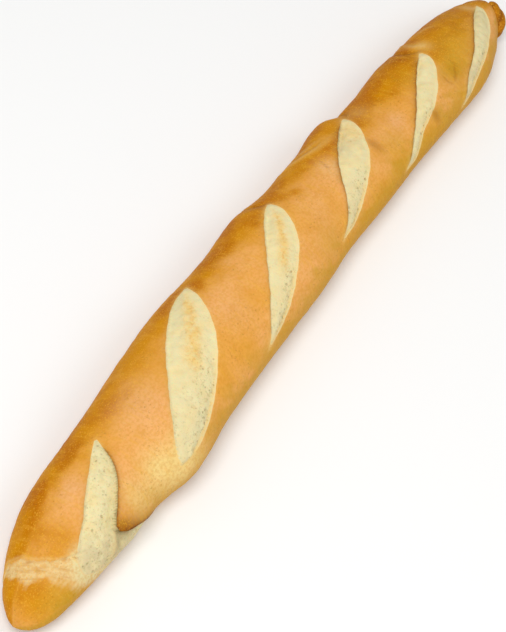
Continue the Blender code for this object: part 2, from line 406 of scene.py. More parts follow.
@dataclass(frozen=True)
class Opening:
    """One slash in the crust, with an edge towards the heel and an edge towards the tail."""

    heel_edge: SurfaceLine
    tail_edge: SurfaceLine
    heel_profile: EdgeProfile
    tail_profile: EdgeProfile = EdgeProfile.of(0.3, 2.2, 0.0, 0.9, 1.7)
    swell: float = 1.9 * MM     # how far the crumb swells in the middle
    ridge: float = 0.0          # a sharper ridge along the upper half
    blush: float = 0.0          # how toasted that ridge is
    grey: float = 0.0           # how grey the crumb is, partly dull crumb and partly painted shade
    browned: float = 0.25       # how brown the raised edge is, partly a painted shadow line beside it
    torn: bool = False          # whether it tore round the side under a flap
    soft_from: float = 2.0      # past this share the heel edge melts into the crust
    melt_span: float = 0.12     # and has melted fully after this much more

    def middle(self) -> float:
        """The opening's middle along the loaf."""
        return 0.5 * MM * (self.heel_edge.through[0][0] + self.heel_edge.through[-1][0])

    def outline(self, girth: float) -> Array:
        """Its closed outline, drawn flat."""
        return np.concatenate([self.heel_edge.flat(girth), self.tail_edge.flat(girth)[::-1]])

    def melting(self, share: Array) -> Array:
        """How far the heel edge has melted into the crust, at a share of its length."""
        return ease(share, self.soft_from, self.soft_from + self.melt_span)


# Each slash: its top and its lower end, then places on its edge towards the heel and on its edge towards
# the tail, from the top down; the sizes of the raised heel edge and of the swell and the ridge in
# millimetres; then how toasted and how grey the crumb is, partly painted shade, and how brown the edge is,
# partly a painted shadow line.
SLASHES = (
    ((-59, -54), (-158, 61), ((-74, -50), (-95, -34), (-122, -8), (-142, 15), (-155, 41)),
     ((-64, -31), (-78, 2), (-97, 27), (-118, 47), (-141, 58)),
     (0.5, 5, 0.3, 1.1, 2.0), 2.0, 0.5, 0.9, 0.35, 0.25),
    ((21, -42), (-60, 68), ((15, -38), (-15, -6), (-37, 23), (-50, 42)),
     ((21, -28), (10, 6), (-12, 33), (-33, 53)),
     (1.0, 5, 0.6, 1.7, 1.4), 1.9, 0.4, 0.8, 0.4, 0.25),
    ((110, -45), (33, 59), ((95, -33), (67, -1), (50, 32)), ((109, -31), (96, 6), (70, 38), (47, 57)),
     (1.2, 5, 0.7, 1.9, 1.3), 1.9, 0.0, 0.0, 0.6, 0.8),
    ((187, -27), (109, 73), ((177, -19), (142, 20), (117, 55)),
     ((187, -14), (174, 16), (157, 36), (137, 49), (121, 71)),
     (1.4, 5, 0.8, 2.0, 1.2), 1.9, 0.0, 0.0, 0.7, 0.8),
    ((260, -15), (180, 79), ((249, -8), (213, 24), (190, 48)),
     ((260, 2), (252, 27), (232, 42), (205, 55), (184, 76)),
     (1.3, 5, 0.7, 1.9, 1.2), 1.9, 0.0, 0.0, 1.0, 0.8),
)


def cut_openings() -> tuple[Opening, ...]:
    """Lay out the six openings, from the heel to the far end.

    Returns:
        The torn opening by the heel and the five plain slashes.
    """
    top, end = (-174, -30), (-172, 112)
    heel_side = ((-196, -12), (-217, 9), (-236, 34), (-239, 48), (-218, 94), (-200, 112))
    flap_side = ((-183, 7), (-200, 34), (-206.5, 44.5), (-208.5, 49.5), (-206.5, 54.5), (-192, 73),
                 (-178, 96))
    openings = [Opening(
        SurfaceLine((top, *heel_side, end), 0.3, 0.4, 31 * MM), SurfaceLine((top, *flap_side, end), 0.1, 2.2),
        EdgeProfile.of(0.7, 6, 0.4, 1.9, 2.2), EdgeProfile.of(0.9, 14, 0.8, 2.6, 2.4),
        swell=2.3 * MM, grey=0.5, torn=True, soft_from=0.36,
    )]
    for top, end, heel_side, tail_side, profile, swell, ridge, blush, grey, browned in SLASHES:
        heel_edge = SurfaceLine((top, *heel_side, end), 0.2, 0.1 * top[0])
        tail_edge = SurfaceLine((top, *tail_side, end), 0.2, 0.1 * top[0] + 1.3)
        openings.append(Opening(
            heel_edge, tail_edge, EdgeProfile.of(*profile), swell=swell * MM, ridge=ridge * MM,
            blush=blush, grey=grey, browned=browned,
        ))
    return tuple(openings)


def inside_outline(points: Array, outline: Array) -> Array:
    """Find which points lie inside a closed outline.

    Args:
        points: The points, drawn flat.
        outline: The outline's points in order.

    Returns:
        True for each point inside.
    """
    inside = np.zeros(len(points), dtype=bool)
    for start, end in zip(outline, np.roll(outline, -1, axis=0)):
        if start[1] == end[1]:
            continue
        spans = (start[1] > points[:, 1]) != (end[1] > points[:, 1])
        crossing = start[0] + (points[:, 1] - start[1]) / (end[1] - start[1]) * (end[0] - start[0])
        inside ^= spans & (points[:, 0] < crossing)
    return inside


def spots_near(flat: Array, line: Array, margin: float) -> Array:
    """Find the points close to a line, all of them drawn flat.

    Args:
        flat: The points.
        line: The line's points.
        margin: How far outside the line's box a point may lie.

    Returns:
        The index of each point found.
    """
    low, high = line.min(axis=0) - margin, line.max(axis=0) + margin
    return np.flatnonzero(np.all((flat > low) & (flat < high), axis=1))


@dataclass
class Surface:
    """The loaf's surface while it is worked out, one entry for each point."""

    x: Array
    angle: Array
    inside: Array
    height: Array
    edge_distance: Array
    tones: dict[Tone, Array]

    @classmethod
    def over(cls, x: Array, angle: Array, inside: Array) -> "Surface":
        """Start a plain surface over the given places, far from any edge."""
        tones = {tone: np.zeros(x.shape) for tone in Tone}
        return cls(x, angle, inside, np.zeros(x.shape), np.full(x.shape, FAR), tones)

    def add_tone(self, tone: Tone, where: Array | slice, strength: Array) -> None:
        """Strengthen one tone over some of the points."""
        self.tones[tone][where] = np.clip(self.tones[tone][where] + strength, 0.0, 1.0)


@dataclass(frozen=True)
class Beside:
    """The points near one opening, measured against its two edges."""

    opening: Opening
    girth: float                # length round the loaf for one degree there
    spots: Array                # which points of the surface they are
    within: Array               # which of them lie in the opening
    heel: EdgeReading
    tail: EdgeReading

    @classmethod
    def measure(cls, opening: Opening, girth: float, x: Array, angle: Array, margin: float) -> "Beside":
        """Find the points near an opening and measure them.

        Args:
            opening: The opening.
            girth: Length round the loaf for one degree there.
            x: Place along the loaf of each point of the surface.
            angle: Angle round it.
            margin: How far from the opening a point may lie.

        Returns:
            The points near it.
        """
        outline = opening.outline(girth)
        flat = np.stack([x, angle * girth], axis=-1)
        spots = spots_near(flat, outline, margin)
        flat = flat[spots]
        heel, tail = opening.heel_edge.read(flat, girth), opening.tail_edge.read(flat, girth)
        return cls(opening, girth, spots, inside_outline(flat, outline), heel, tail)

    @property
    def sides(self) -> Array:
        """How far across the opening each point lies: 0 at the heel edge, 1 at the tail edge."""
        return self.heel.distance / np.maximum(self.heel.distance + self.tail.distance, TINY)

    def into_opening(self) -> Array:
        """Find which way is into the opening from the crust beside it.

        Returns:
            A direction of length one for each point, drawn flat.
        """
        into = []
        edges = ((self.opening.heel_edge, self.heel, 1.0), (self.opening.tail_edge, self.tail, -1.0))
        for edge, reading, sign in edges:
            along = headings(edge.flat(self.girth))
            index = np.clip(np.round(reading.share * (len(along) - 1)).astype(int), 0, len(along) - 1)
            into.append(sign * np.stack([along[index, 1], -along[index, 0]], axis=-1))
        return np.where((self.heel.distance < self.tail.distance)[:, None], *into)

    def shape(self, surface: Surface) -> None:
        """Shape one opening and the crust beside it.

        Args:
            surface: The surface, changed in place.
        """
        opening, heel, tail, sides = self.opening, self.heel, self.tail, self.sides
        one, two = opening.heel_profile, opening.tail_profile
        heel_first = heel.distance < tail.distance
        # each edge is lifted along its middle and dies out towards both ends, and where it melts away
        melting = opening.melting(heel.share)
        heel_on = ease(heel.share, 0.0, 0.1) * fade(heel.share, 0.86, 1.0) * (1 - melting)
        tail_on = ease(tail.share, 0.0, 0.12) * fade(tail.share, 0.88, 1.0)
        flap = np.zeros(len(self.spots))
        if opening.torn:
            # the flap over the far part of the tail edge stands clear of the crumb and stays lifted
            flap = ease(tail.share, 0.25, 0.5) * fade(tail.share, 0.75, 1.0)
            tail_on = np.maximum(tail_on, ease(tail.share, 0.0, 0.12) * (tail.share > 0.5))
        heel_in = ease(heel.distance, 0.0, one.width + MELT_WIDTH * melting)
        tail_in = ease(tail.distance, 0.0, two.width)
        # in the opening the crumb drops from both edges and swells between them
        drop = one.drop * (1 - sides) * np.maximum(heel_on, 0.15)
        drop += two.drop * sides * tail_on * (1 + 0.5 * flap)
        bulge = opening.swell * 4 * sides * (1 - sides)
        bulge += opening.ridge * bell(sides, 0.42, 0.1) * fade(heel.share, 0.35, 0.62)
        bulge *= ease(heel.distance + tail.distance, 1 * MM, 7 * MM)
        heel_lift, tail_lift = one.rise * heel_on, two.rise * tail_on * (1 + flap)
        sunk = heel_in * tail_in * (bulge - drop) + heel_lift * (1 - heel_in) + tail_lift * (1 - tail_in)
        # beside it the crust stands up and leans over the crumb, less with every millimetre
        stood = heel_lift * ebb(heel.distance, one.reach) * heel_first
        stood += tail_lift * ebb(tail.distance, two.reach) * ~heel_first
        surface.height[self.spots] += np.where(self.within, sunk, stood)
        heel_lean = one.lean * heel_on * ebb(heel.distance, HEEL_LEAN_REACH)
        tail_lean = (two.lean + FLAP_LEAN * flap) * tail_on * ebb(tail.distance, TAIL_LEAN_REACH)
        lean = np.where(self.within, 0.0, np.where(heel_first, heel_lean, tail_lean))
        moved = lean[:, None] * self.into_opening()
        surface.x[self.spots] += moved[:, 0]
        surface.angle[self.spots] += moved[:, 1] / self.girth
        nearest = np.minimum(heel.distance, tail.distance)
        signed = np.where(self.within, -nearest, nearest)
        closer = np.abs(signed) < np.abs(surface.edge_distance[self.spots])
        surface.edge_distance[self.spots] = np.where(closer, signed, surface.edge_distance[self.spots])

    def tone_crumb(self, surface: Surface) -> None:
        """Set the tones in one opening.

        Args:
            surface: The surface, changed in place.
        """
        opening, inner = self.opening, np.flatnonzero(self.within)
        spots, sides = self.spots[inner], self.sides[inner]
        heel, tail = self.heel.at(inner), self.tail.at(inner)
        # the ridge in the upper half stood nearest the heat
        ridge = bell(sides, 0.53, 0.15) * fade(heel.share, 0.4, 0.62) * ease(heel.share, 0.03, 0.16)
        surface.add_tone(Tone.BLUSH, spots, opening.blush * ridge)
        # the crumb greys, most towards its lower end: partly dull crumb, partly painted shade
        surface.add_tone(Tone.GREY, spots, opening.grey * (0.35 + 0.65 * ease(heel.share, 0.4, 0.8)))
        # the pores gather on the tail side and in the lower half, where the crumb tore last
        porous = 0.8 * ease(sides, 0.25, 0.75) * ease(heel.share, 0.28, 0.55)
        porous = np.maximum(porous, 0.45 * ease(heel.share, 0.5, 0.8))
        surface.add_tone(Tone.PORES, spots, np.maximum(porous, 0.5 * opening.torn))
        if opening.torn:
            melted = opening.melting(heel.share) * ebb(heel.distance, 5 * MM)
            surface.add_tone(Tone.TORN, spots, 0.3 * melted)
            # the crumb darkens beside the flap's edge: painted shade under the flap
            surface.add_tone(Tone.BROWN, spots, 0.3 * ebb(tail.distance, 2.2 * MM))
        else:
            rim = fade(tail.distance, 0.8 * MM, 3.2 * MM) * ease(tail.share, 0.35, 0.75)
            surface.add_tone(Tone.PALE, spots, 0.75 * rim)

    def tone_edges(self, surface: Surface) -> None:
        """Set the tones of the crust beside one opening.

        Args:
            surface: The surface, changed in place.
        """
        opening, outer = self.opening, np.flatnonzero(~self.within)
        spots, heel, tail = self.spots[outer], self.heel.at(outer), self.tail.at(outer)
        heel_first, tail_first = heel.distance < tail.distance, tail.distance < heel.distance
        firm = fade(heel.share, opening.soft_from - 0.06, opening.soft_from + 0.04)
        ends = fade(np.minimum(tail.share, 1 - tail.share), 0.0, 0.12) * (not opening.torn)
        # a pale line along the thin edge, partly its dry rim and partly a painted highlight, only where it is
        # firm and not underneath
        lit = ebb(np.minimum(heel.distance, tail.distance), GLOW_REACH) * np.where(heel_first, firm, 1.0)
        lit *= fade(np.abs(surface.angle[spots]), 90, 100)
        surface.add_tone(Tone.PALE, spots, 0.35 * lit * (0.6 + ends))
        # a brown line beside the raised heel edge: partly its browning, partly a painted shadow line under
        # the lip
        dark = ebb(heel.distance, BROWN_AND_SHADOW_REACH) * ease(heel.share, 0.04, 0.15) * fade(heel.share, 0.5, 0.9)
        surface.add_tone(Tone.BROWN, spots, opening.browned * dark * firm * heel_first)
        if opening.torn:
            # the lower heel edge melts into the torn band; the flap's corner is browner, and the dark line
            # along the flap's edge is partly browning and partly painted shade of the crack under it
            melted = opening.melting(heel.share) * heel_first
            surface.add_tone(Tone.TORN, spots, 0.95 * melted * ebb(heel.distance, 7 * MM))
            surface.add_tone(Tone.GREY, spots, melted * bell(heel.distance, 0.0, 5 * MM))
            line = 0.85 * ebb(tail.distance, 0.9 * MM) * ease(tail.share, 0.05, 0.12)
            corner = 0.45 * ebb(tail.distance, 2.6 * MM) * ease(tail.share, 0.35, 0.55)
            surface.add_tone(Tone.BROWN, spots, (line + corner) * tail_first)


@dataclass(frozen=True)
class Fold:
    """A ridge, crease or fine crack that the crust baked with."""

    line: SurfaceLine
    rise: float
    half_width: float
    tone: Tone | None
    strength: float
    in_crumb: bool


# Each fold: its places, its wobble and the seed of that, its rise and its half width in millimetres, its
# tone and how strong that is. A rise below zero is a crease or a crack, and the brown laid along it is
# painted shade.
CRUST_FOLDS = (
    (((190, -27), (186, -34), (183, -48), (184, -66), (190, -88)), 0.2, 1.0, -1.1, 2.0, Tone.BROWN, 0.5),
    (((112, -46), (116, -52), (119, -62), (118, -92)), 0.2, 2.0, -1.3, 2.2, Tone.BROWN, 0.5),
    (((23, -42), (19, -48), (16, -58), (14, -80)), 0.2, 3.0, -0.7, 2.2, Tone.BROWN, 0.35),
    (((268, -39), (262, -56), (262, -80)), 0.2, 4.0, -0.8, 2.4, Tone.BROWN, 0.35),
    (((194, -30), (191, -42), (192, -60), (198, -84)), 0.3, 5.0, 0.7, 2.2, Tone.PALE, 0.35),
    (((48, -84), (57, -74), (64, -62), (72, -48), (82, -38), (92, -34)), 0.3, 6.0, 0.6, 3.0, Tone.PALE, 0.4),
    (((62, -80), (70, -66), (78, -54), (88, -46)), 0.3, 7.0, 0.4, 2.4, Tone.PALE, 0.25),
    (((56, -78), (64, -68), (70, -56), (80, -44)), 0.3, 7.5, -0.4, 1.4, Tone.BROWN, 0.25),
    (((68, -26), (66, -18), (64, -8)), 0.2, 8.0, -0.35, 0.8, Tone.BROWN, 0.45),
    (((193, 4), (193, 16), (188, 28), (182, 36)), 0.25, 9.0, -0.35, 0.9, Tone.BROWN, 0.35),
    (((180, 14), (179, 24), (181, 36)), 0.25, 10.0, -0.3, 0.8, Tone.BROWN, 0.3),
    (((-245, -60), (-244, -30), (-243, -6)), 0.3, 11.0, 0.35, 2.6, None, 0.0),
    (((205, -60), (214, -50), (218, -40)), 0.3, 12.0, 0.3, 2.0, Tone.PALE, 0.3),
)
CRUMB_FOLDS = (
    (((-209, 52), (-215, 66), (-225, 86)), 0.5, 13.0, 0.9, 1.6, Tone.BLUSH, 0.3),
    # the grey along this crease under the flap is painted shade
    (((-204, 54), (-208, 68), (-216, 90)), 0.5, 14.0, -1.1, 2.6, Tone.GREY, 0.8),
    (((-61, -49), (-75, -34), (-92, -14), (-104, -2)), 0.3, 15.0, 0.7, 2.0, None, 0.0),
    (((23, -40), (12, -24), (0, -8), (-10, 4)), 0.3, 16.0, 0.5, 1.8, None, 0.0),
)


def lay_folds() -> list[Fold]:
    """Lay out the creases, stretched ridges and fine cracks of the crust, then the ridges in the crumb.

    Returns:
        The folds.
    """
    return [
        Fold(SurfaceLine(places, wobble, seed), rise * MM, width * MM, tone, strength, in_crumb)
        for in_crumb, rows in ((False, CRUST_FOLDS), (True, CRUMB_FOLDS))
        for places, wobble, seed, rise, width, tone, strength in rows
    ]


# The patches that baked or stretched differently, by tone: each one's place along in millimetres and its
# angle round in degrees, its half length along and round in millimetres, how strong it is, and its rise in
# millimetres where it is a hollow.
CRUST_BLOTCHES = {
    Tone.PALE: (
        # the first patch here lightens the flap, which faces away from the lamps: a painted light patch
        (-187, 55, 11, 9, 0.42), (-160, 48, 17, 12, 0.85), (-168, 40, 8, 9, 0.4), (-150, 72, 18, 9, 0.55),
        (252, -22, 5, 8, 0.45), (194, -32, 5, 6, 0.5), (120, -36, 8, 8, 0.25), (66, -9, 6, 8, 0.22),
        (-189, 35, 7, 7, 0.35), (-166, 78, 10, 7, 0.3),
    ),
    Tone.AMBER: (
        (-196, 46, 4, 7, 0.35), (-206, 51, 5, 5, 0.9), (60, -18, 8, 8, 0.3), (225, -24, 22, 12, 0.6),
        (-190, -34, 18, 8, 0.25), (140, -30, 24, 14, 0.5), (122, -38, 10, 8, 0.6), (-232, -52, 16, 12, 0.5),
        (-240, -12, 13, 15, 0.6), (-232, 8, 9, 8, 0.35), (-262, 6, 11, 22, 0.75), (-272, 0, 8, 22, 0.5),
    ),
    Tone.OLIVE: (
        (-190, 56, 10, 8, 0.25), (181, 19, 9, 8, 0.45), (24, 43, 12, 9, 0.5), (113, 27, 11, 9, 0.45),
        (189, 29, 8, 8, 0.5), (192, 14, 8, 7, 0.4), (200, -8, 9, 8, 0.3), (160, -14, 10, 8, 0.35),
        (215, 4, 20, 14, 0.55), (203, 26, 12, 10, 0.35), (-256, 50, 12, 12, 0.7),
    ),
    Tone.BROWN: (
        (-204, 54, 5, 4, 0.4), (-198, 62, 5, 4, 0.3), (181, 19, 9, 8, 0.08), (237, -28, 9, 9, 0.14),
        # the brown of the two hollows on this line is painted shade
        (101, 10, 3.4, 6.5, 0.42, -0.55), (154, 47, 3.0, 6.0, 0.45, -0.4), (16, -50, 5, 5, 0.35),
        (180, -40, 6, 7, 0.3), (172, -56, 12, 12, 0.22), (265, -62, 10, 12, 0.35), (275, 0, 6, 30, 0.45),
        (189, 27, 7, 8, 0.14), (236, -52, 14, 9, 0.22), (258, 72, 12, 10, 0.2), (230, 74, 14, 7, 0.15),
    ),
    Tone.BLUSH: (
        (127, 11, 8, 6, 0.6), (66, -9, 7, 9, 0.7), (-146, -14, 20, 13, 0.6), (-62, 9, 13, 12, 0.4),
        (-209, -16, 8, 5, 0.6), (34, 16, 16, 12, 0.35), (90, -2, 9, 12, 0.25),
    ),
}
CRUMB_BLOTCHES = {
    # the grey patches on this line lie under the flap and are painted shade
    Tone.GREY: (
        (-214, 78, 9, 9, 0.9), (-198, 66, 7, 7, 0.9), (-222, 54, 7, 7, 0.6), (-232, 50, 8, 12, 0.7),
        (84, -14, 12, 6, 0.6),
    ),
    # the brown patches under the flap and in the last slash are painted shade
    Tone.BROWN: ((-204, 64, 6, 5, 0.3), (-212, 74, 8, 6, 0.28), (250, 0, 9, 12, 0.12)),
    Tone.BLUSH: ((98, -24, 10, 9, 0.5),),
}


@dataclass(frozen=True)
class HeelTear:
    """The shallow torn band round the heel: crust pulled apart down to a pale fibrous skin."""

    upper_edge: Points = (
        (-262, -104), (-256, -76), (-253, -49), (-249, -12), (-243.5, 12), (-237, 24), (-229, 38),
        (-220, 62), (-214, 90),
    )
    breadth: Points = (
        (-104, 4.0), (-76, 7.0), (-45, 11.0), (-18, 15.0), (12, 14.0), (28, 19.0), (45, 26.0), (70, 27.0),
        (90, 24.0),
    )
    depth: float = 1.1 * MM
    lip: float = 0.35 * MM
    raggedness: float = 0.6 * MM
    fibre_slant: float = 0.1575 * MM    # how far round the fibres' pattern runs in one degree

    def read(self, x: Array, angle: Array) -> tuple[Array, Array]:
        """Measure the surface against the tear's upper edge.

        Args:
            x: Place along the loaf.
            angle: Angle round it.

        Returns:
            The distance below the upper edge, and that distance as a share of the tear's breadth.
        """
        places, angles = zip(*self.upper_edge)
        edge = MM * smooth_through(angle, angles, places) + self.raggedness * wander(angle, 37.0, 0.7)
        at, wide = zip(*self.breadth)
        below = edge - x
        breadth = MM * smooth_through(angle, at, wide) * (1 + 0.14 * wander(angle, 41.0, 1.9))
        return below, below / breadth


@dataclass(frozen=True)
class TwistedTail:
    """The end of the dough, twisted off and curled up against the loaf's far end."""

    # its middle line from the loaf's far end and its radius, in millimetres
    route: tuple[tuple[float, float, float, float], ...] = (
        (-20.5, -14.9, -2.5, 2.0), (-16.0, -15.6, -1.6, 3.4), (-11.5, -15.2, -0.9, 4.8),
        (-7.7, -13.0, 0.4, 5.6), (-5.1, -10.0, 2.0, 5.7), (-3.5, -6.8, 3.6, 5.2),
        (-2.3, -4.0, 5.2, 4.2), (-1.8, -2.4, 6.4, 2.8), (-1.5, -1.4, 7.0, 1.1),
    )
    rings: int = 60
    sides: int = 48
    strands: int = 3
    strand_height: float = 0.15
    turns: float = 0.62

    def build(self, end: Vector) -> tuple[Array, Array, Array]:
        """Make the tail's closed mesh.

        Args:
            end: The loaf's far end, which the route is measured from.

        Returns:
            Its points, its triangles, and how deep each point lies between two strands.
        """
        route = np.array(self.route) * MM
        at = np.linspace(0, 1, len(route))
        where = np.linspace(0, 1, self.rings)
        line = np.stack([smooth_through(where, at, route[:, axis]) for axis in range(4)], axis=-1)
        heading = headings(line[:, :3])
        side = np.cross(heading, [0.0, 0.0, 1.0])
        side /= np.linalg.norm(side, axis=1, keepdims=True)
        up = np.cross(side, heading)
        around = np.linspace(0, 2 * math.pi, self.sides, endpoint=False)
        phase = self.strands * (around[None, :] + 2 * math.pi * self.turns * where[:, None])
        strand = np.abs(np.cos(0.5 * phase)) ** 0.7
        wide = line[:, 3:4] * (1 - self.strand_height + 1.4 * self.strand_height * (strand - 0.4))
        spots = line[:, None, :3] + wide[..., None] * (
            np.cos(around)[None, :, None] * side[:, None, :] + np.sin(around)[None, :, None] * up[:, None, :]
        )
        first, last = line[0, :3], line[-1, :3] + heading[-1] * 0.5 * line[-1, 3]
        points = np.concatenate([spots.reshape(-1, 3), [first, last]]) + np.array(end)
        depth = np.concatenate([(1 - strand).reshape(-1), [0.0, 0.3]])
        return points, closed_grid_faces(self.rings, self.sides), depth


def closed_grid_faces(rings: int, sides: int) -> Array:
    """Triangles of a tube of rings with a point at each end.

    Args:
        rings: How many rings there are.
        sides: How many points are in each.

    Returns:
        The triangles; the two end points come after the rings' points.
    """
    ring, side = np.meshgrid(np.arange(rings - 1), np.arange(sides), indexing="ij")
    here, beside = ring * sides + side, ring * sides + (side + 1) % sides
    ahead, across = here + sides, beside + sides
    body = np.concatenate([
        np.stack([here, ahead, across], axis=-1).reshape(-1, 3),
        np.stack([here, across, beside], axis=-1).reshape(-1, 3),
    ])
    side = np.arange(sides)
    start, end = rings * sides, rings * sides + 1
    first = np.stack([np.full(sides, start), side, (side + 1) % sides], axis=-1)
    base = (rings - 1) * sides
    last = np.stack([np.full(sides, end), base + (side + 1) % sides, base + side], axis=-1)
    return np.concatenate([body, first, last])


def linear(hex_colour: str) -> tuple[float, ...]:
    """Turn an sRGB hex colour to linear light.

    Args:
        hex_colour: Six hex digits.

    Returns:
        Red, green and blue in linear light, and a full alpha.
    """
    parts = [int(hex_colour[index:index + 2], 16) / 255 for index in (0, 2, 4)]
    return *(part / 12.92 if part <= 0.04045 else ((part + 0.055) / 1.055) ** 2.4 for part in parts), 1.0


def add_node(tree: Tree, kind: str, inputs: dict, output: str | int = 0, **settings: object) -> Socket | None:
    """Add a node with its settings and links.

    Args:
        tree: The tree to add it to.
        kind: The node's type.
        inputs: For each input, by name or number, the output that feeds it or its fixed value.
        output: Which of the node's outputs is wanted.
        settings: Its properties by name.

    Returns:
        The wanted output, or None where the node has none.
    """
    node = tree.nodes.new(kind)
    for name, value in settings.items():
        setattr(node, name, value)
    for socket, value in inputs.items():
        if isinstance(value, Socket):
            tree.links.new(value, node.inputs[socket])
        else:
            node.inputs[socket].default_value = value
    return node.outputs[output] if node.outputs else None


@dataclass(frozen=True)
class Flow:
    """A number that flows through a node tree, so that nodes are joined as plain sums are written."""

    socket: Socket

    def joined(self, operation: str, other: "Flow | float", first: bool = True) -> "Flow":
        """Join this flow with another or with a number.

        Args:
            operation: What to do with the two.
            other: The other flow or the number.
            first: Whether this flow comes first.

        Returns:
            The result.
        """
        pair = (self.socket, other.socket if isinstance(other, Flow) else other)
        inputs = dict(enumerate(pair if first else pair[::-1]))
        return Flow(add_node(self.socket.id_data, "ShaderNodeMath", inputs, operation=operation))

    def __add__(self, other: "Flow | float") -> "Flow":
        """The sum."""
        return self.joined("ADD", other)

    def __sub__(self, other: "Flow | float") -> "Flow":
        """The difference."""
        return self.joined("SUBTRACT", other)

    def __rsub__(self, other: float) -> "Flow":
        """A number less this flow."""
        return self.joined("SUBTRACT", other, False)

    def __mul__(self, other: "Flow | float") -> "Flow":
        """The product."""
        return self.joined("MULTIPLY", other)

    def __rtruediv__(self, other: float) -> "Flow":
        """A number divided by this flow."""
        return self.joined("DIVIDE", other, False)

    def cut(self, low: float, high: float, top: float = 1.0) -> "Flow":
        """Cut the flow to 0..top between two limits, with soft ends.

        Args:
            low: Where it starts to rise.
            high: Where it is at its top.
            top: What it rises to.

        Returns:
            The cut flow.
        """
        inputs = {"Value": self.socket, "From Min": low, "From Max": high, "To Min": 0.0, "To Max": top}
        tree, kind = self.socket.id_data, "ShaderNodeMapRange"
        return Flow(add_node(tree, kind, inputs, interpolation_type="SMOOTHSTEP"))


@dataclass(frozen=True)
class Finish:
    """The shader's numbers that are the same all over a material."""

    roughness: float
    ior: float
    specular: float
    scatter: float              # how much light goes under the surface
    scatter_depth: float
    relief_depth: float         # real depth of the fine relief


def put_in_scene(name: str, data: bpy.types.ID) -> bpy.types.Object:
    """Make an object and put it in the scene.

    Args:
        name: What it is called.
        data: Its mesh, lamp or camera.

    Returns:
        The object.
    """
    made = bpy.data.objects.new(name, data)
    bpy.context.scene.collection.objects.link(made)
    return made


class MaterialMaker:
    """Makes one node material, coat by coat, over the piece's own Object coordinates."""

    def __init__(self, name: str, colour: str) -> None:
        """Start a material of one plain colour.

        Args:
            name: What the material is called.
            colour: Its first coat, as a hex colour.
        """
        self.material = bpy.data.materials.new(name)
        self.material.use_nodes = True
        self.tree = self.material.node_tree
        self.shader = self.tree.nodes["Principled BSDF"]
        self.place = add_node(self.tree, "ShaderNodeTexCoord", {}, "Object")
        self.colour: object = linear(colour)

    def tone(self, tone: Tone) -> Flow:
        """Read one tone's share from the mesh."""
        return Flow(add_node(self.tree, "ShaderNodeAttribute", {}, "Fac", attribute_name=tone.value))

    def grain(self, size: float, detail: float, *limits: float, offset: float = 0.0,
              stretch: tuple[float, float, float] = (1, 1, 1), turn: float = 0.0) -> Flow:
        """A soft random pattern.

        Args:
            size: Its real grain size in millimetres.
            detail: How many finer layers it has.
            limits: The limits and the top that it is cut to, if any.
            offset: Moves it, so that two patterns differ.
            stretch: How much tighter it is along each axis.
            turn: Turns its stretch about the upright axis, in radians.

        Returns:
            The pattern.
        """
        turned = add_node(self.tree, "ShaderNodeVectorRotate", {"Vector": self.place, "Angle": -turn},
                          rotation_type="Z_AXIS")
        moved = add_node(self.tree, "ShaderNodeMapping",
                         {"Vector": turned, "Location": (offset, offset, offset), "Scale": stretch})
        pattern = Flow(add_node(self.tree, "ShaderNodeTexNoise",
                                {"Vector": moved, "Scale": 1 / (size * MM), "Detail": detail}, "Fac"))
        return pattern.cut(*limits) if limits else pattern

    def lay(self, colour: str, share: Flow) -> None:
        """Lay a coat of this hex colour over those so far, as far as a share says."""
        inputs = {0: share.socket, 6: self.colour, 7: linear(colour)}
        self.colour = add_node(self.tree, "ShaderNodeMix", inputs, 2, data_type="RGBA")

    def finish(self, relief: Flow, finish: Finish) -> bpy.types.Material:
        """Join the coats, the fine relief and the fixed numbers to the shader.

        Args:
            relief: The fine relief's pattern.
            finish: The shader's fixed numbers.

        Returns:
            The finished material.
        """
        bump = add_node(self.tree, "ShaderNodeBump",
                        {"Height": relief.socket, "Strength": 1.0, "Distance": finish.relief_depth})
        self.tree.links.new(bump, self.shader.inputs["Normal"])
        self.tree.links.new(self.colour, self.shader.inputs["Base Color"])
        numbers = {
            "Roughness": finish.roughness, "IOR": finish.ior, "Specular IOR Level": finish.specular,
            "Subsurface Weight": finish.scatter, "Subsurface Scale": finish.scatter_depth,
        }
        for name, number in numbers.items():
            self.shader.inputs[name].default_value = number
        return self.material


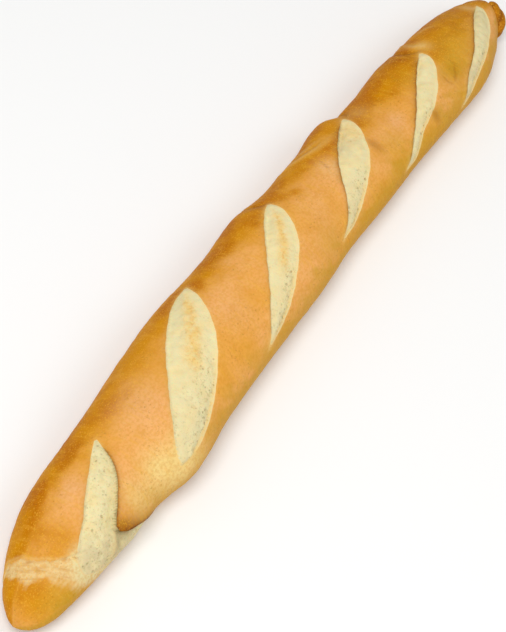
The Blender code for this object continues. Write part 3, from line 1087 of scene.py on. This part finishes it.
@dataclass(frozen=True)
class BakedCrust:
    """Baked crust of a wheat loaf: thin, dry, hard and slightly shiny, brownest where it stands out, with
    painted sheen and shade in its colours.
    """

    # the crown's colour is lightened by a painted sheen
    crown: str = "F0B068"
    gold: str = "E6A23A"
    amber: str = "D28A00"
    deep_amber: str = "BC6C00"
    olive: str = "CB9A2C"
    brown: str = "8A4E14"
    tan: str = "EDB47C"
    pale: str = "F2D187"
    torn: str = "EACB8E"
    torn_brown: str = "CE9A5A"
    fleck: str = "F0B43C"
    dark_fleck: str = "9C651A"
    crumb_skin: str = "E6D7A0"
    tear_turn: float = math.radians(28)         # the torn fibres' slant
    # baked dry, so it shines only a little, and a little light goes under its thin skin
    finish: Finish = Finish(0.52, 1.45, 0.06, 0.08, 1.5 * MM, 0.11 * MM)

    def material(self) -> bpy.types.Material:
        """Make the crust.

        Returns:
            The material.
        """
        maker = MaterialMaker("baked_wheat_crust", self.crown)
        lay, grain = maker.lay, maker.grain
        amber, torn = maker.tone(Tone.AMBER), maker.tone(Tone.TORN)
        # the oven's broad mottle, then the deeper browning and painted shade of the long sides
        lay(self.gold, grain(46, 2, 0.38, 0.66, 0.8))
        lay(self.amber, grain(11, 3, 0.42, 0.72, 0.28, offset=0.3))
        lay(self.amber, amber * grain(15, 3, 0.0, 0.5, offset=0.7))
        lay(self.deep_amber, amber.cut(0.45, 1.0) * grain(24, 3, 0.38, 0.62, offset=1.1))
        # olive carries painted shade on the -Y side besides its own tint, and pale is partly a painted
        # highlight by the edges and on the flap
        for colour, tone in ((self.olive, Tone.OLIVE), (self.tan, Tone.BLUSH), (self.pale, Tone.PALE)):
            lay(colour, maker.tone(tone))
        # fibres of the torn band, ragged at its borders, with brown streaks of painted shade between them
        fibres = grain(6, 5, offset=0.2, stretch=(2.6, 0.6, 0.8), turn=self.tear_turn)
        ragged = (torn + (fibres - 0.5) * 0.9).cut(0.12, 0.85) * torn.cut(0.0, 0.3)
        lay(self.torn, ragged)
        streak_shade = grain(5, 5, 0.44, 0.76, 0.75, offset=0.9, stretch=(2.4, 0.5, 0.8), turn=self.tear_turn)
        lay(self.torn_brown, ragged * streak_shade)
        lay(self.crumb_skin, maker.tone(Tone.GREY))
        lay(self.brown, maker.tone(Tone.BROWN))
        lay(self.amber, grain(1.6, 3, 0.38, 0.66, 0.3, offset=0.15))
        lay(self.fleck, grain(9, 4, 0.5, 0.72, 0.22, offset=0.35, stretch=(4.5, 0.8, 0.8)))
        # fine pale flecks and darker pin-point blisters, each about a millimetre, most on the amber parts
        lay(self.fleck, grain(0.9, 1, 0.54, 0.72, 0.5) * amber.cut(-0.3, 0.8))
        lay(self.dark_fleck, grain(1.3, 2, 0.58, 0.74, 0.4, offset=0.5) * grain(17, 1, 0.4, 0.65, offset=0.4))
        return maker.finish(grain(1.3, 2) + grain(3.4, 2) * 1.2, self.finish)


@dataclass(frozen=True)
class TornCrumb:
    """The skin of crumb in an opening: dull, cream, fine-pored dough that tore and dried in the oven."""

    cream: str = "EDE0AC"
    warm: str = "F2DA9A"
    blush: str = "EFC671"
    toasted: str = "D8A352"
    grey: str = "D8C89A"
    rim: str = "F4CC7A"
    torn: str = "EACB8E"
    pore: str = "9F8750"
    smudge: str = "C4B37C"
    shaded: str = "8F7A45"
    pore_spacing: float = 2.3 * MM
    # matt, as it is rough and full of pores, and a little light glows through its thin walls
    finish: Finish = Finish(0.78, 1.4, 0.2, 0.12, 2 * MM, 0.2 * MM)

    def material(self) -> bpy.types.Material:
        """Make the crumb.

        Returns:
            The material.
        """
        maker = MaterialMaker("torn_wheat_crumb", self.cream)
        lay, grain = maker.lay, maker.grain
        lay(self.warm, grain(8, 3, 0.4, 0.68, 0.6))
        # grey, partly painted shade
        lay(self.grey, maker.tone(Tone.GREY) * grain(6, 3, 0.2, 0.6, offset=0.6))
        blush = maker.tone(Tone.BLUSH) * grain(4, 4, 0.15, 0.6, offset=0.8)
        lay(self.blush, blush)
        lay(self.toasted, blush * grain(1.8, 3, 0.45, 0.7, 0.7, offset=0.1))
        lay(self.torn, maker.tone(Tone.TORN))
        lay(self.rim, maker.tone(Tone.PALE))
        # pores: pin-holes of half a millimetre to a millimetre and a half, in loose groups, their dark colour
        # painted shade
        cells = add_node(maker.tree, "ShaderNodeTexVoronoi",
                         {"Vector": maker.place, "Scale": 1 / self.pore_spacing}).node.outputs
        size, distance = Flow(cells["Color"]) * 0.55, Flow(cells["Distance"])
        hole = (size - 0.14 - distance).cut(-0.1, 0.16)
        groups = grain(9, 2, 0.46, 0.66, 0.4, offset=0.2) + maker.tone(Tone.PORES)
        gathered = groups.cut(0.1, 0.9)
        pores = hole * gathered
        lay(self.smudge, grain(3.2, 4, 0.5, 0.68, 0.5, offset=0.4) * groups.cut(0.2, 1.0))
        lay(self.pore, grain(1.3, 2, 0.56, 0.7, 0.34, offset=0.9) * gathered)
        lay(self.pore, pores * 0.45)
        lay(self.shaded, maker.tone(Tone.BROWN))
        return maker.finish(grain(1.1, 3) + grain(3, 3) * 1.5 - pores * 2.0, self.finish)


@dataclass(frozen=True)
class CrustRelief:
    """The oven's own relief: low blisters on the crust, lumps and pits in the crumb."""

    blister_size: float = 10 * MM
    blister_height: float = 0.32 * MM
    ripple_size: float = 3.2 * MM
    ripple_height: float = 0.1 * MM
    lump_size: float = 5.5 * MM
    lump_height: float = 0.85 * MM
    pit_spacing: float = 3.4 * MM
    pit_depth: float = 0.45 * MM
    seed: float = 4.0

    def sizes(self) -> dict[str, float]:
        """Each named input and its value."""
        return {size.name.replace("_", " ").title(): getattr(self, size.name) for size in fields(self)}

    def tree(self) -> Tree:
        """Make the node tree that moves the surface and gives each face its material.

        Returns:
            The tree, with a named input for each size.
        """
        tree = bpy.data.node_groups.new("crust_relief", "GeometryNodeTree")
        inputs = {"Geometry": "Geometry", **dict.fromkeys(self.sizes(), "Float")}
        inputs |= {"Crust": "Material", "Crumb": "Material"}
        for name, kind in inputs.items():
            tree.interface.new_socket(name, in_out="INPUT", socket_type=f"NodeSocket{kind}")
        tree.interface.new_socket("Geometry", in_out="OUTPUT", socket_type="NodeSocketGeometry")
        given = add_node(tree, "NodeGroupInput", {}).node.outputs
        place = add_node(tree, "GeometryNodeInputPosition", {})
        normal = add_node(tree, "GeometryNodeInputNormal", {}, "Normal")
        opened, free, torn = (
            add_node(tree, "GeometryNodeInputNamedAttribute", {"Name": name}, "Attribute", data_type=kind)
            for name, kind in (("open_share", "FLOAT"), ("free_share", "FLOAT"), ("is_crumb", "BOOLEAN"))
        )
        spacing = 1.0 / Flow(given["Pit Spacing"])
        cells = add_node(tree, "ShaderNodeTexVoronoi", {"Vector": place, "Scale": spacing.socket}, "Distance",
                         voronoi_dimensions="3D", feature="SMOOTH_F1")
        pit = (Flow(cells) - CELL_MIDDLE) * Flow(given["Pit Depth"])
        blister, ripple, lump = (self.bumps(given, place, name) for name in ("Blister", "Ripple", "Lump"))
        crust = (blister + ripple) * (1.0 - Flow(opened))
        crumb = (lump + pit) * Flow(opened)
        height = (crust + crumb) * Flow(free)
        offset = add_node(tree, "ShaderNodeVectorMath", {0: normal, "Scale": height.socket},
                          operation="SCALE")
        moved = add_node(tree, "GeometryNodeSetPosition", {"Geometry": given["Geometry"], "Offset": offset})
        whole = add_node(tree, "GeometryNodeRealizeInstances", {"Geometry": moved})
        whole = add_node(tree, "GeometryNodeSetMaterial", {"Geometry": whole, "Material": given["Crust"]})
        whole = add_node(tree, "GeometryNodeSetMaterial",
                         {"Geometry": whole, "Selection": torn, "Material": given["Crumb"]})
        add_node(tree, "NodeGroupOutput", {0: whole})
        return tree

    @staticmethod
    def bumps(given: bpy.types.NodeOutputs, place: Socket, name: str) -> Flow:
        """Soft bumps, up and down by about the height that the tree is given under a name.

        Args:
            given: What the tree is given.
            place: Where the surface is.
            name: The bumps' name, which their size and height stand under.

        Returns:
            The height to add.
        """
        scale = 1.0 / Flow(given[f"{name} Size"])
        inputs = {"Vector": place, "W": given["Seed"], "Scale": scale.socket, "Detail": 2.0}
        noise = Flow(add_node(place.id_data, "ShaderNodeTexNoise", inputs, noise_dimensions="4D"))
        return (noise - NOISE_MIDDLE) * NOISE_GAIN * Flow(given[f"{name} Height"])

    def apply(self, piece: bpy.types.Object, crust: bpy.types.Material, crumb: bpy.types.Material) -> None:
        """Work the relief into the piece's own mesh.

        Args:
            piece: The loaf.
            crust: The material of its crust.
            crumb: The material of its crumb.
        """
        modifier = piece.modifiers.new("crust_relief", "NODES")
        modifier.node_group = self.tree()
        values = {**self.sizes(), "Crust": crust, "Crumb": crumb}
        for item in modifier.node_group.interface.items_tree:
            if item.in_out == "INPUT" and item.name in values:
                modifier[item.identifier] = values[item.name]
        evaluated = piece.evaluated_get(bpy.context.evaluated_depsgraph_get())
        mesh = bpy.data.meshes.new_from_object(evaluated)
        piece.modifiers.remove(modifier)
        rough = piece.data
        piece.data = mesh
        bpy.data.meshes.remove(rough)


@dataclass(frozen=True)
class Loaf:
    """The whole loaf: its plain form, its six openings, its folds and its twisted tail."""

    form: LoafForm = LoafForm()
    tear: HeelTear = HeelTear()
    tail: TwistedTail = TwistedTail()
    relief: CrustRelief = CrustRelief()
    crust: BakedCrust = BakedCrust()
    crumb: TornCrumb = TornCrumb()
    openings: tuple[Opening, ...] = field(default_factory=cut_openings)
    rings: int = 590
    sides: int = 146
    top_density: float = 0.35
    snug: float = 0.9975        # keeps the blisters inside the plain loaf's width
    fit_margin: float = 4 * MM  # points this near an opening may slide onto its edge
    lift_margin: float = 26 * MM    # and points this near it may be raised or browned by it
    table_clear: float = 4 * MM     # the relief dies out over this height above the table
    edge_calm: float = 1.5 * MM     # and is down to a quarter over this width beside an edge
    crumb_rise: float = 2.2 * MM    # the crumb's own relief takes over within this of an edge
    tail_relief: float = 0.6        # the tail's share of the relief

    def lay_out(self) -> tuple[Array, Array]:
        """Place the rings of points over the loaf, closest together on its top.

        Returns:
            The place along and the angle round of each point.
        """
        share = np.linspace(0, 1, self.rings + 2)[1:-1]
        turn = (np.arange(self.sides) / self.sides * 2 - 1) * math.pi
        angle = np.degrees(turn - self.top_density * np.sin(turn))
        x, angles = np.meshgrid(self.form.place_along(share), angle, indexing="ij")
        return x.reshape(-1), angles.reshape(-1)

    def fit_to_edges(self, x: Array, angle: Array, triangles: Array) -> tuple[Array, Array, Array, Array]:
        """Slide the points nearest an opening's edge onto it, so that no triangle crosses the edge.

        Args:
            x: Place along the loaf of each point.
            angle: Angle round it.
            triangles: The triangles between them.

        Returns:
            The new places and angles, which points lie inside an opening, and which lie on an edge.
        """
        x, angle = x.copy(), angle.copy()
        inside, on_edge = np.zeros(x.shape, dtype=bool), np.zeros(x.shape, dtype=bool)
        pairs = np.concatenate([triangles[:, [0, 1]], triangles[:, [1, 2]], triangles[:, [2, 0]]])
        for opening in self.openings:
            girth = self.form.girth_per_degree(opening.middle())
            near = Beside.measure(opening, girth, x, angle, self.fit_margin)
            within, foot = np.zeros(x.shape, dtype=bool), np.zeros((len(x), 2))
            away = np.full(x.shape, np.inf)
            within[near.spots] = near.within
            away[near.spots] = np.minimum(near.heel.distance, near.tail.distance)
            heel_nearer = near.heel.distance <= near.tail.distance
            foot[near.spots] = np.where(heel_nearer[:, None], near.heel.nearest, near.tail.nearest)
            one, two = pairs[within[pairs[:, 0]] != within[pairs[:, 1]]].T
            moved = np.unique(np.where(away[one] <= away[two], one, two))
            x[moved] = foot[moved, 0]
            angle[moved] = foot[moved, 1] / girth
            on_edge[moved] = True
            within[moved] = False
            inside |= within
        return x, angle, inside, on_edge

    def carve(self, surface: Surface) -> None:
        """Raise the crust along each opening's edges, sink its crumb and set its tones.

        Args:
            surface: The surface, changed in place.
        """
        for opening in self.openings:
            girth = self.form.girth_per_degree(opening.middle())
            near = Beside.measure(opening, girth, surface.x, surface.angle, self.lift_margin)
            near = replace(near, within=near.within & surface.inside[near.spots])
            near.shape(surface)
            near.tone_crumb(surface)
            near.tone_edges(surface)

    def add_folds(self, surface: Surface) -> None:
        """Add the folds and the blotches.

        Args:
            surface: The surface, changed in place.
        """
        for fold in lay_folds():
            girth = self.form.girth_per_degree(np.mean([place for place, _ in fold.line.through]) * MM)
            flat = np.stack([surface.x, surface.angle * girth], axis=-1)
            spots = spots_near(flat, fold.line.flat(girth), 4 * fold.half_width)
            spots = spots[surface.inside[spots] == fold.in_crumb]
            reading = fold.line.read(flat[spots], girth)
            form = np.exp(-((reading.distance / fold.half_width) ** 2) * 1.4)
            form *= np.sin(math.pi * np.clip(reading.share, 0.02, 0.98)) ** 0.5
            surface.height[spots] += fold.rise * form
            if fold.tone:
                surface.add_tone(fold.tone, spots, fold.strength * form)
        for blotches, where in ((CRUST_BLOTCHES, ~surface.inside), (CRUMB_BLOTCHES, surface.inside)):
            for tone, rows in blotches.items():
                for place, angle, along, around, strength, *rise in rows:
                    girth = self.form.girth_per_degree(place * MM) / MM
                    share = where * bell(surface.x / MM, place, along)
                    share *= bell(surface.angle * girth, angle * girth, around)
                    surface.height += sum(rise) * MM * share
                    surface.add_tone(tone, EVERYWHERE, strength * share)

    def tear_heel(self, surface: Surface) -> None:
        """Work the torn band into the heel.

        Args:
            surface: The surface, changed in place.
        """
        outside = ~surface.inside
        below, share = self.tear.read(surface.x, surface.angle)
        side = ease(surface.angle, -112, -88) * fade(surface.angle, 78, 100)
        band = ease(below, 0.0, 0.9 * MM) * fade(share, 0.15, 1.0) * side
        lip = bell(below, -0.6 * MM, 1.1 * MM) * side
        fibres = patchy(3.2 * surface.x, self.tear.fibre_slant * surface.angle, 13 * MM, 5.0)
        deep = self.tear.depth * (1 - 0.75 * ease(surface.angle, 20, 45))
        # crust lifts in a thin lip above the band, and the band is shallower where it joins the opening
        surface.height += outside * self.tear.lip * lip - deep * band * (1 + 0.35 * fibres)
        torn = ease(below, -0.2 * MM, 0.7 * MM) * fade(share, 0.35, 1.15) * side
        surface.add_tone(Tone.TORN, EVERYWHERE, 0.95 * torn * outside)
        surface.add_tone(Tone.PALE, EVERYWHERE, 0.4 * lip * outside)

    @staticmethod
    def brown_sides(surface: Surface) -> None:
        """Brown the long sides and the underside, as they face the oven's heat and its floor; the sides'
        amber and olive also hold painted shade.

        Args:
            surface: The surface, changed in place.
        """
        x, angle = surface.x / MM, surface.angle
        around = angle * DEGREE_ROUND
        # the amber, partly browning and partly painted shade, starts a third of the way down the +Y side, and
        # nearer the top in the far half
        far = ease(x, 20, 110)
        start = 30 - 14 * ease(x, 20, 90) - 22 * ease(x, 100, 220)
        start += 9 * patchy(surface.x, around, 60 * MM, 1.0)
        amber = np.maximum(ease(-angle - start, -22, 20), 0.8 * ease(angle + 14 * far, 62, 100))
        surface.tones[Tone.AMBER] = np.maximum(amber, surface.tones[Tone.AMBER])
        # the -Y side turns olive: partly its bake, partly painted shade of the side turned from the light
        olive = 0.75 * ease(angle + 16 * far + 15 * patchy(surface.x, around, 42 * MM, 3.0), 44, 82)
        surface.add_tone(Tone.OLIVE, EVERYWHERE, olive)
        surface.add_tone(Tone.BROWN, EVERYWHERE, 0.35 * ease(np.abs(angle), 118, 150))

    def build(self) -> bpy.types.Object:
        """Build the loaf and its tail as one piece.

        Returns:
            The finished object.
        """
        x, angle = self.lay_out()
        triangles = closed_grid_faces(self.rings, self.sides)
        between = np.all(triangles < len(x), axis=1)
        x, angle, inside, on_edge = self.fit_to_edges(x, angle, triangles[between])
        inside, on_edge = np.append(inside, [False, False]), np.append(on_edge, [False, False])
        x, angle = np.append(x, [self.form.heel_x, self.form.tip_x]), np.append(angle, [0.0, 0.0])
        surface = Surface.over(x, angle, inside)
        is_crumb = np.all((inside | on_edge)[triangles], axis=1) & np.any(inside[triangles], axis=1)
        surface.height += self.form.shoulder_swell(surface.x, surface.angle)
        self.carve(surface)
        self.add_folds(surface)
        self.tear_heel(surface)
        self.brown_sides(surface)
        points = self.form.points(surface.x, surface.angle, surface.height)
        # the relief stays small along the edges, and there is none where the loaf touches the table
        free = ease(points[:, 2], 0.0, self.table_clear)
        calm = ease(np.abs(surface.edge_distance), 0.0, self.edge_calm)
        free *= np.where(inside, 1.0, 0.25 + 0.75 * calm)
        points[:, 2] = np.maximum(points[:, 2], 0.0)
        opened = ease(-surface.edge_distance, 0.0, self.crumb_rise)
        end = Vector(self.form.points(np.array([self.form.tip_x]), np.zeros(1), np.zeros(1))[0])
        tail_points, tail_faces, tail_depth = self.tail.build(end)
        count, more = len(points), len(tail_points)
        tones = {tone: np.append(values, np.zeros(more)) for tone, values in surface.tones.items()}
        # the tail stands out into the heat, so all of it is brown, and its grooves are darker still with
        # painted shade
        tones[Tone.BROWN][count:] = 0.5 + 0.5 * np.clip(1.5 * tail_depth, 0, 1)
        tones[Tone.AMBER][count:] = 1.0
        shift = np.array([CAD_BOX[0][0] - self.form.heel_x, self.form.sideways, 0.0])
        points = (np.concatenate([points, tail_points]) + shift) * (1.0, self.snug, 1.0)
        mesh = self.make_mesh(points, np.concatenate([triangles, tail_faces + count]))
        shares = {tone.value: values for tone, values in tones.items()}
        shares["open_share"] = np.append(opened, np.zeros(more))
        shares["free_share"] = np.append(free, np.full(more, self.tail_relief))
        for name, values in shares.items():
            mesh.attributes.new(name, "FLOAT", "POINT").data.foreach_set("value", values)
        is_crumb = np.append(is_crumb, np.zeros(len(tail_faces), dtype=bool))
        mesh.attributes.new("is_crumb", "BOOLEAN", "FACE").data.foreach_set("value", is_crumb)
        piece = put_in_scene("loaf", mesh)
        self.relief.apply(piece, self.crust.material(), self.crumb.material())
        return piece

    @staticmethod
    def make_mesh(points: Array, triangles: Array) -> bpy.types.Mesh:
        """Make a smooth mesh whose faces point outwards.

        Args:
            points: Its points.
            triangles: Its triangles.

        Returns:
            The mesh.
        """
        mesh = bpy.data.meshes.new("loaf")
        mesh.from_pydata(points.tolist(), [], triangles.tolist())
        shape = bmesh.new()
        shape.from_mesh(mesh)
        bmesh.ops.recalc_face_normals(shape, faces=shape.faces)
        shape.to_mesh(mesh)
        shape.free()
        mesh.shade_smooth()
        return mesh


@dataclass(frozen=True)
class Lamp:
    """One soft studio lamp: where it stands, how wide it is and how strong."""

    name: str
    place: tuple[float, float, float]
    width: float
    power: float


@dataclass(frozen=True)
class Studio:
    """A pale floor, soft white lamps and the camera."""

    floor_half_width: float = 6.0
    floor_colour: str = "FBFBFA"
    floor_roughness: float = 0.9
    world_light: float = 0.44
    aim: tuple[float, float, float] = (-0.04113, -0.0091, 0.025)
    distance: float = 1.2035
    azimuth: float = -75.98
    elevation: float = 55.53
    roll: float = -21.24
    lens: float = 118.21
    clip_start: float = 50 * MM
    lamps: tuple[Lamp, ...] = (
        Lamp("key", (-0.95, 0.05, 2.0), 1.2, 27.0),
        Lamp("fill", (0.4, -1.1, 1.6), 1.2, 6.0),
    )

    def build_floor(self) -> bpy.types.Object:
        """Lay the floor.

        Returns:
            The floor's object.
        """
        half = self.floor_half_width
        mesh = bpy.data.meshes.new("floor")
        corners = [(-half, -half, 0), (half, -half, 0), (half, half, 0), (-half, half, 0)]
        mesh.from_pydata(corners, [], [(0, 1, 2, 3)])
        floor = put_in_scene("floor", mesh)
        # matt emulsion paint: pale, so that it only carries a soft shadow, and without gloss
        maker = MaterialMaker("matt_painted_floor", self.floor_colour)
        maker.shader.inputs["Base Color"].default_value = maker.colour
        maker.shader.inputs["Roughness"].default_value = self.floor_roughness
        mesh.materials.append(maker.material)
        return floor

    def hang_lamps(self) -> None:
        """Hang the lamps, each turned to the loaf, and light the room softly."""
        for lamp in self.lamps:
            light = bpy.data.lights.new(lamp.name, "AREA")
            light.shape = "DISK"
            light.size = lamp.width
            light.energy = lamp.power
            lit = put_in_scene(lamp.name, light)
            lit.location = lamp.place
            lit.rotation_euler = (-Vector(lamp.place)).to_track_quat("-Z", "Y").to_euler()
        world = bpy.data.worlds.new("studio")
        world.use_nodes = True
        background = world.node_tree.nodes["Background"].inputs
        background["Color"].default_value = (1.0, 1.0, 1.0, 1.0)
        background["Strength"].default_value = self.world_light
        bpy.context.scene.world = world
        bpy.context.scene.view_settings.view_transform = "Standard"

    def set_camera(self) -> None:
        """Stand the camera over the heel's end, rolled so that the loaf runs corner to corner."""
        across, up = math.radians(self.azimuth), math.radians(self.elevation)
        back = Vector((math.sin(across) * math.cos(up), -math.cos(across) * math.cos(up), math.sin(up)))
        level_up = (Vector((0, 0, 1)) - back * back.z).normalized()
        level_side = (-back).cross(level_up)
        turn = math.radians(self.roll)
        top = math.cos(turn) * level_up + math.sin(turn) * level_side
        right = (-back).cross(top)
        camera = bpy.data.cameras.new("camera")
        camera.lens = self.lens
        camera.clip_start = self.clip_start
        stand = put_in_scene("camera", camera)
        place = Vector(self.aim) + back * self.distance
        stand.matrix_world = Matrix.Translation(place) @ Matrix((right, top, back)).transposed().to_4x4()
        bpy.context.scene.camera = stand


def main() -> None:
    """Build the studio and the loaf, and report each piece."""
    logging.basicConfig(level=logging.INFO, format="%(message)s")
    log = logging.getLogger("baguette")
    studio = Studio()
    log.info("floor: %s", studio.build_floor().name)
    studio.hang_lamps()
    studio.set_camera()
    piece = Loaf().build()
    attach(piece, "root")
    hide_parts("baguette")
    log.info("%s: %d triangles", piece.name, len(piece.data.polygons))


if __name__ == "__main__":
    main()
